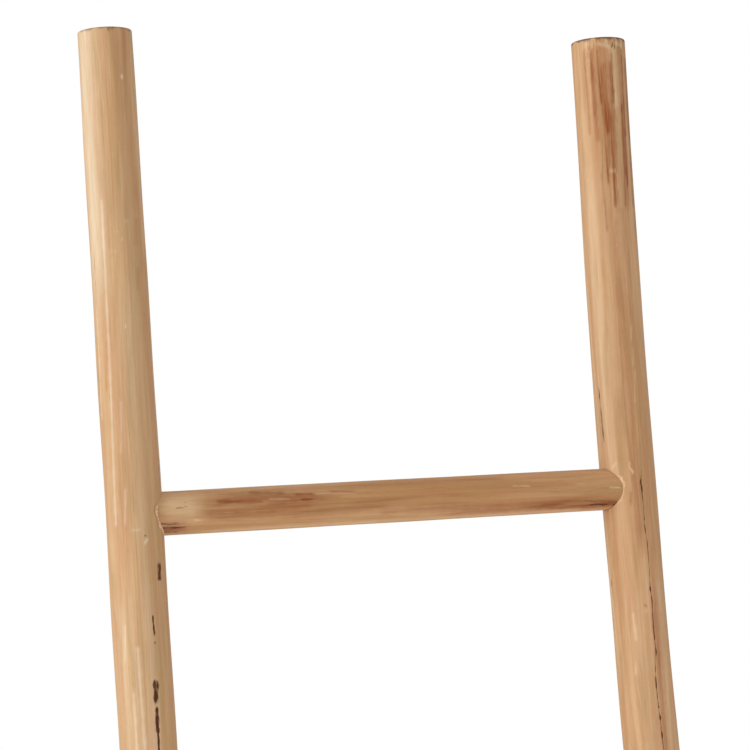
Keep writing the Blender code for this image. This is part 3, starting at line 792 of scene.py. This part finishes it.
def turnedTeak(name, look):
    # teak turned to a pole and sanded, left bare: soft streaks along the pole, matt
    material = bpy.data.materials.new(name)
    material.use_nodes = True
    tree = material.node_tree
    shader = tree.nodes["Principled BSDF"]
    place = addNode(tree, "Attribute", {"attribute_name": "grain"}).outputs["Vector"]
    seed = look["seed"]

    def softStep(value, low, high):
        return addNode(tree, "MapRange", {"From Min": low, "From Max": high,
                                          "interpolation_type": "SMOOTHSTEP"}, {"Value": value}).outputs[0]

    def grainNoise(source, location, across, along, detail, roughness):
        # noise drawn out along the pole
        scale = (1 / (across * mm), 1 / (across * mm), 1 / (along * mm))
        grid = addNode(tree, "Mapping", {"Location": location, "Scale": scale}, {"Vector": source})
        return addNode(tree, "TexNoise", {"Scale": 1.0, "Detail": detail, "Roughness": roughness},
                       {"Vector": grid.outputs[0]})

    def blendIn(colour, factor, base, strength=1.0):
        share = addNode(tree, "Math", {"operation": "MULTIPLY", 1: strength}, {0: factor}).outputs[0]
        mixed = addNode(tree, "Mix", {"data_type": "RGBA", 7: linear(colour)}, {0: share, 6: base})
        return mixed.outputs[2]

    drift = grainNoise(place, (seed * 1.3, 2.0, seed * 0.7), *teakGrain["drift"], 2.0, 0.5)
    centred = addNode(tree, "VectorMath", {"operation": "SUBTRACT", 1: (0.5, 0.5, 0.5)},
                      {0: drift.outputs["Color"]})
    wander = 2 * teakGrain["wander"]
    grain = addNode(tree, "VectorMath", {"operation": "MULTIPLY_ADD", 1: (wander, wander, 0)},
                    {0: centred.outputs[0], 2: place}).outputs[0]

    pith = look["pith"]
    ringScale = teakGrain["waveStep"] / (teakGrain["ringStep"] * mm)
    ringGrid = addNode(tree, "Mapping", {
        "Location": (-pith[0] * mm * ringScale, -pith[1] * mm * ringScale, 0),
        "Scale": (ringScale, ringScale, ringScale * teakGrain["ringStretch"]),
    }, {"Vector": grain})
    ringWave = addNode(tree, "TexWave", {
        "wave_type": "RINGS", "rings_direction": "Z", "wave_profile": "SAW",
        "Scale": 1.0, "Distortion": 1.6, "Detail": 2.0, "Detail Scale": 0.6,
    }, {"Vector": ringGrid.outputs[0]})
    shows = {"rings": softStep(ringWave.outputs[0], 0.25, 1.0)}
    for key, (across, along, detail, shown, offset) in teakPatterns.items():
        noise = grainNoise(grain, (seed + offset, offset * 1.7, seed * 0.37), across, along, detail, 0.55)
        shows[key] = softStep(noise.outputs[0], *shown)

    tone = addNode(tree, "Mix", {"data_type": "RGBA", 6: linear(look["light"]), 7: linear(look["mid"])},
                   {0: shows["bands"]})
    colour = tone.outputs[2]
    for tint, key, share in teakLayers:
        colour = blendIn(look[tint], shows[key], colour, look[share])
    for kind, key, least, most in teakMarks:
        mark = addNode(tree, "Attribute", {"attribute_name": kind}).outputs["Fac"]
        broken = addNode(tree, "MapRange", {"To Min": least, "To Max": most}, {"Value": shows[key]})
        share = addNode(tree, "Math", {"operation": "MULTIPLY", "use_clamp": True},
                        {0: mark, 1: broken.outputs[0]}).outputs[0]
        if kind == "darkMark":
            share = softStep(share, 0.18, 0.72)  # checks, nail stains and the painted shade beside the joints end sharply
        colour = blendIn(look[kind], share, colour)
    tree.links.new(colour, shader.inputs["Base Color"])

    rough = addNode(tree, "MapRange", {"To Min": 0.62, "To Max": 0.48}, {"Value": shows["fibres"]})
    tree.links.new(rough.outputs[0], shader.inputs["Roughness"])
    shader.inputs["IOR"].default_value = 1.5
    shader.inputs["Specular IOR Level"].default_value = 0.30  # open grain scatters most of the gloss
    shader.inputs["Sheen Weight"].default_value = 0.05  # fine raised fibres catch the light at the edges
    shader.inputs["Sheen Roughness"].default_value = 0.5
    lowered = addNode(tree, "Math", {"operation": "MULTIPLY_ADD", 1: -0.9},
                      {0: shows["pores"], 2: shows["fibres"]})
    bump = addNode(tree, "Bump", {"Strength": 0.6, "Distance": 0.12 * mm}, {"Height": lowered.outputs[0]})
    tree.links.new(bump.outputs[0], shader.inputs["Normal"])
    return material


teakLooks = {
    "left": {
        "seed": 4.0, "pith": (31, 22), "light": "#dab489", "mid": "#cea476", "olive": "#b99a6c",
        "oliveShare": 0.55, "flush": "#cf987a", "flushShare": 0.48, "ring": "#b98a5c", "ringShare": 0.14,
        "streak": "#a9794d", "streakShare": 0.20, "pale": "#ecd0a6", "paleShare": 0.25,
        "fibreShare": 0.06, "pore": "#8a5a34", "poreShare": 0.10,
        # paleMark is also the colour of the painted highlight on this rail's lit edge
        "redMark": "#bb8054", "paleMark": "#f5e4c8", "darkMark": "#55290f", "sawn": "#6b4526",
    },
    "right": {
        "seed": 9.0, "pith": (-18, 36), "light": "#e0b78d", "mid": "#cd9e70", "olive": "#b8966a",
        "oliveShare": 0.58, "flush": "#cb8e68", "flushShare": 0.50, "ring": "#b07a4c", "ringShare": 0.16,
        "streak": "#9d683f", "streakShare": 0.28, "pale": "#efd0a8", "paleShare": 0.30,
        "fibreShare": 0.07, "pore": "#7a4b2b", "poreShare": 0.12,
        "redMark": "#9c572a", "paleMark": "#f4d8b2", "darkMark": "#5a2f12", "sawn": "#4a2c18",
    },
    "rung": {
        "seed": 15.0, "pith": (12, 27), "light": "#d9ac7e", "mid": "#c69462", "olive": "#b28a55",
        "oliveShare": 0.55, "flush": "#c88860", "flushShare": 0.55, "ring": "#a86e40", "ringShare": 0.16,
        "streak": "#905a33", "streakShare": 0.32, "pale": "#e8c69a", "paleShare": 0.25,
        "fibreShare": 0.07, "pore": "#6d4124", "poreShare": 0.14,
        "redMark": "#97532b", "paleMark": "#edcaa0", "darkMark": "#58260d", "sawn": "#5d3a22",
    },
}


mottles = {  # mm across a fleck, its two colours, their roughness, and the relief's strength and depth in mm
    "filler": {"size": 1.4, "colours": ("#cfa278", "#f3d3ad"), "rough": (0.9, 0.7), "relief": (0.5, 0.15)},
    "zinc": {"size": 1.2, "colours": ("#c9c4b4", "#c3c8cc"), "rough": (0.26, 0.42), "relief": (0.3, 0.02)},
}


def mottled(name, look):
    material = bpy.data.materials.new(name)
    material.use_nodes = True
    tree = material.node_tree
    shader = tree.nodes["Principled BSDF"]
    place = addNode(tree, "TexCoord").outputs["Object"]
    noise = addNode(tree, "TexNoise", {"Scale": 1 / (look["size"] * mm), "Detail": 3.0}, {"Vector": place})
    tone = addNode(tree, "MapRange", {"From Min": 0.35, "From Max": 0.65}, {"Value": noise.outputs[0]})
    first, second = (linear(colour) for colour in look["colours"])
    colour = addNode(tree, "Mix", {"data_type": "RGBA", 6: first, 7: second}, {0: tone.outputs[0]})
    tree.links.new(colour.outputs[2], shader.inputs["Base Color"])
    low, high = look["rough"]
    rough = addNode(tree, "MapRange", {"To Min": low, "To Max": high}, {"Value": tone.outputs[0]})
    tree.links.new(rough.outputs[0], shader.inputs["Roughness"])
    strength, depth = look["relief"]
    bump = addNode(tree, "Bump", {"Strength": strength, "Distance": depth * mm}, {"Height": noise.outputs[0]})
    tree.links.new(bump.outputs[0], shader.inputs["Normal"])
    return material


def driedFiller(name):
    # wood filler, pressed in and wiped: chalky and pale, a little lumpy
    return mottled(name, mottles["filler"])


def zincPlatedSteel(name):
    # cold-formed steel, zinc plated: pale grey with a faint yellow and blue cast, softly mottled
    material = mottled(name, mottles["zinc"])
    material.node_tree.nodes["Principled BSDF"].inputs["Metallic"].default_value = 1.0
    return material


# ---- building the ladder

def finishPiece(piece, material, node=None):
    piece.data.materials.clear()
    piece.data.materials.append(material)
    shadeRound(piece)
    if node:
        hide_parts(node)
    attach(piece, "root")


railPieces = {side: makeRail(side) for side in rails}
rungPieces = [makeRung(index) for index in range(len(rungs))]
sockets = [makeSocket(index) for index in range(len(rungs))]
print("poles turned:", {piece.name: len(piece.data.polygons) for piece in railPieces.values()})

zinc = zincPlatedSteel("zinc-plated cold-formed steel")
holes = {side: [] for side in rails}
for side in rails:
    for node in sorted(node for node in frame["nodes"] if node.startswith(side + "_screw_")):
        screw, hole = makeScrew(node)
        holes[side].append(hole)
        finishPiece(screw, zinc, node)
print("screws threaded:", sum(map(len, holes.values())))

for side, piece in railPieces.items():
    carve(piece, sockets + holes[side])
    stainRail(side, piece)
    teak = turnedTeak(f"turned teak, {side} rail", teakLooks[side])
    finishPiece(piece, teak, side + "_rail")
for index, piece in enumerate(rungPieces):
    carve(piece, [holes[side][index] for side in rails])
    stainRung(index, piece)
    look = dict(teakLooks["rung"], seed=teakLooks["rung"]["seed"] + 3.1 * index)  # each its own grain
    finishPiece(piece, turnedTeak(f"turned teak, rung {index + 1}", look), rungNodes[index])
for cutter in sockets + holes["left"] + holes["right"]:
    bpy.data.objects.remove(cutter, do_unlink=True)
print("sockets and screw holes bored:",
      {piece.name: len(piece.data.polygons) for piece in railPieces.values()})

filler = driedFiller("wiped wood filler")
for side in rails:
    for index in range(len(rungs)):
        finishPiece(makeFiller(side, index), filler)
print("joints filled")


# ---- floor, light and camera

studio = {
    "floorRadius": 5.0,
    "floorRings": 8,
    "floorSpokes": 96,
    "floorFade": 1.6,  # from here out it melts into the white room
    "floorColour": "#f7f6f4",
    "surround": 0.62,  # the white room as the wood sees it; straight to the eye it is plain white
    "surroundColour": "#fffaf3",
    "keyPower": 140.0,
    "keySize": (2.6, 3.5),
    "keyFrom": (-5.2, -0.6, 2.9),
    "keyTo": (0.0, 0.0, 1.35),
    "bouncePower": 6.0,  # light thrown up by the floor in front
    "bounceSize": (3.0, 1.4),
    "bounceFrom": (-0.1, -1.05, 0.03),
    "cameraAt": (-1.0434, -2.1976, 1.6617),
    "cameraTurn": 24.244,  # degrees right of straight at the wall
    "cameraDip": 3.825,
    "lens": 144.0,
    "sensor": 36.0,
}


def makeFloor():
    turns = np.linspace(0, 2 * math.pi, studio["floorSpokes"] + 1)[:-1]
    radii = np.linspace(0.0, studio["floorRadius"], studio["floorRings"] + 1)[1:]
    points = [(0.0, 0.0, 0.0)] + [(r * math.cos(t), r * math.sin(t), 0.0) for r in radii for t in turns]
    count = len(turns)
    faces = [(0, 1 + i, 1 + (i + 1) % count) for i in range(count)]
    for ring in range(len(radii) - 1):
        low, high = 1 + ring * count, 1 + (ring + 1) * count
        faces += [(low + i, high + i, high + (i + 1) % count, low + (i + 1) % count) for i in range(count)]
    floor = addPiece("studio_floor", newMesh("studio_floor", points, faces), Matrix.Identity(4))
    material = bpy.data.materials.new("painted matt studio floor")
    material.use_nodes = True
    shader = material.node_tree.nodes["Principled BSDF"]
    shader.inputs["Base Color"].default_value = linear(studio["floorColour"])
    shader.inputs["Roughness"].default_value = 0.9
    tree = material.node_tree
    place = addNode(tree, "TexCoord").outputs["Object"]
    reach = addNode(tree, "VectorMath", {"operation": "LENGTH"}, {0: place}).outputs["Value"]
    fade = addNode(tree, "MapRange", {"From Min": studio["floorFade"], "From Max": studio["floorRadius"],
                                      "To Min": 1.0, "To Max": 0.0, "interpolation_type": "SMOOTHSTEP"},
                   {"Value": reach})
    tree.links.new(fade.outputs[0], shader.inputs["Alpha"])
    floor.data.materials.append(material)
    floor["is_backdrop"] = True


def addLamp(name, power, size, start, end):
    lamp = bpy.data.lights.new(name, "AREA")
    lamp.shape = "RECTANGLE"
    lamp.size, lamp.size_y = size
    lamp.energy = power
    light = bpy.data.objects.new(name, lamp)
    light.location = start
    light.rotation_euler = (Vector(end) - light.location).to_track_quat("-Z", "Y").to_euler()
    light.visible_camera = False
    bpy.context.scene.collection.objects.link(light)


def makeLight():
    world = bpy.data.worlds.new("white room")
    bpy.context.scene.world = world
    world.use_nodes = True
    tree = world.node_tree
    seen = addNode(tree, "LightPath").outputs["Is Camera Ray"]
    level = addNode(tree, "MapRange", {"To Min": studio["surround"], "To Max": 1.0}, {"Value": seen})
    tint = addNode(tree, "Mix", {"data_type": "RGBA", 6: linear(studio["surroundColour"]), 7: (1, 1, 1, 1)},
                   {0: seen})
    tree.links.new(tint.outputs[2], tree.nodes["Background"].inputs["Color"])
    tree.links.new(level.outputs[0], tree.nodes["Background"].inputs["Strength"])
    addLamp("soft key", studio["keyPower"], studio["keySize"], studio["keyFrom"], studio["keyTo"])
    start = Vector(studio["bounceFrom"])
    addLamp("floor bounce", studio["bouncePower"], studio["bounceSize"], start, start + Vector((0, 0, 1)))


def makeCamera():
    data = bpy.data.cameras.new("camera")
    data.lens = studio["lens"]
    data.sensor_width = studio["sensor"]
    camera = bpy.data.objects.new("camera", data)
    camera.location = studio["cameraAt"]
    camera.rotation_euler = (math.radians(90 - studio["cameraDip"]), 0, -math.radians(studio["cameraTurn"]))
    bpy.context.scene.collection.objects.link(camera)
    bpy.context.scene.camera = camera
    bpy.context.scene.view_settings.view_transform = "Standard"


makeFloor()
makeLight()
makeCamera()
print("studio set")

[[list(map(float, corner)) for corner in box] for box in (cadBounds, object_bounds())]
